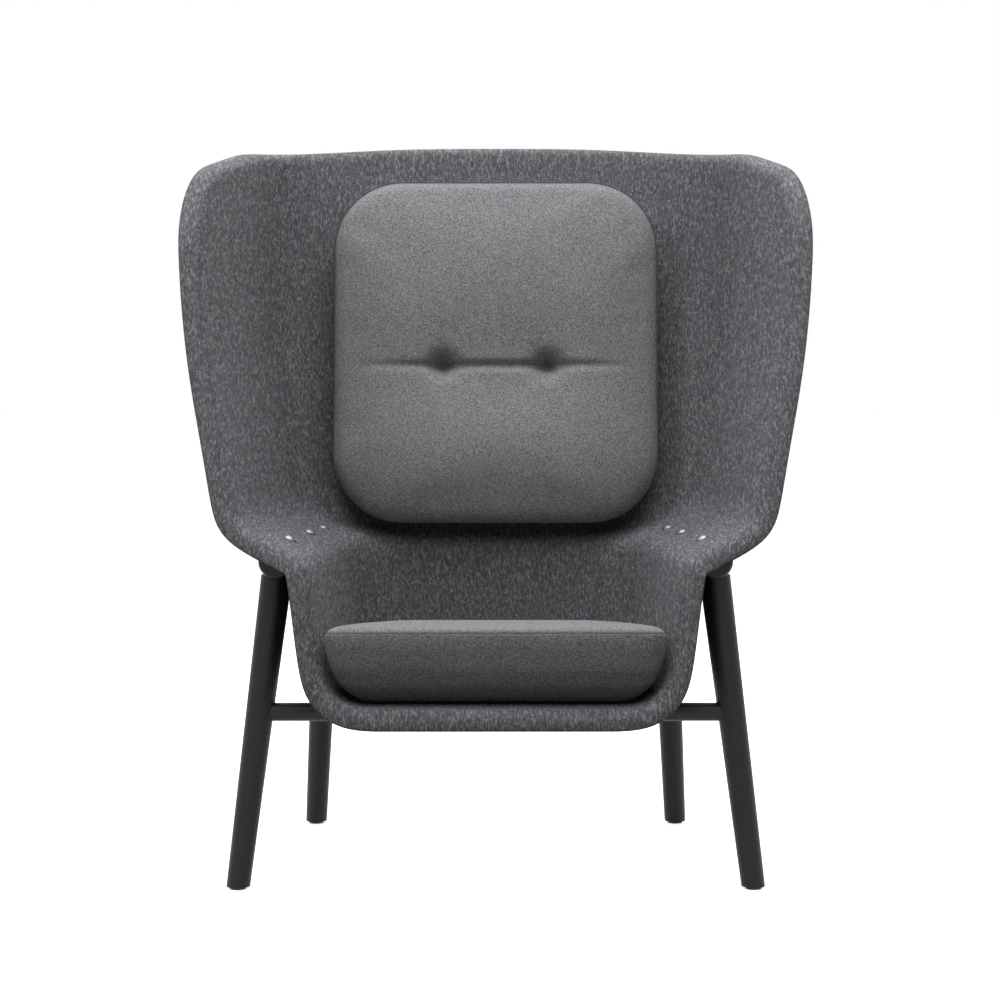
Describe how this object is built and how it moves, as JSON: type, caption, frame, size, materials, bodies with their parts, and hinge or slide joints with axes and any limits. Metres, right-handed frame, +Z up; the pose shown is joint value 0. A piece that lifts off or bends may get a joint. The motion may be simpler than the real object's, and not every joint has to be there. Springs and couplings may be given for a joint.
{
  "type": "acoustic high back lounge chair",
  "caption": "High-backed lounge chair with a moulded felt shell whose wings screen the sitter, loose seat and back cushions, on a round timber frame.",
  "frame": {"origin": "on the floor, under the middle of the bounding box", "axes": "+Z up; the sitter faces -Y and the back is towards +Y; +X is to the right as the chair is seen from in front"},
  "size_m": [0.9796, 0.7496, 1.1565],
  "materials": {
    "felt": "moulded needle felt, heathered grey",
    "wool": "heathered wool upholstery, mid grey",
    "timber": "black stained timber, satin",
    "steel": "zinc plated, satin",
    "glide": "black nylon",
    "strip": "woven hook and loop tape, black",
    "cord": "waxed thread, grey",
    "pad": "solid rubber, matt"
  },
  "bodies": {
    "chair": {"felt_shell": "felt", "back_cushion": "wool", "right_side_rail": "timber", "left_side_rail": "timber", "front_cross_rail": "timber", "rear_cross_rail": "timber", "right_front_leg": "timber", "left_front_leg": "timber", "right_rear_leg": "timber", "left_rear_leg": "timber", "right_front_glide": "glide", "left_front_glide": "glide", "right_rear_glide": "glide", "left_rear_glide": "glide", "seat_hook_strips": "strip", "back_hook_strips": "strip", "back_loop_strips": "strip", "tuft_ties": "cord", "tuft_toggles": "glide", "pan_pads": "pad", "leg_bolts": "steel", "ledge_screws": "steel"},
    "loose_seat": {"seat_cushion": "wool", "seat_loop_strips": "strip"}
  },
  "joints": [
    {"name": "seat_lift", "type": "slide", "parent": "chair", "child": "loose_seat", "axis": [0, 0, 1], "range_m": [0, 0.12]}
  ]
}
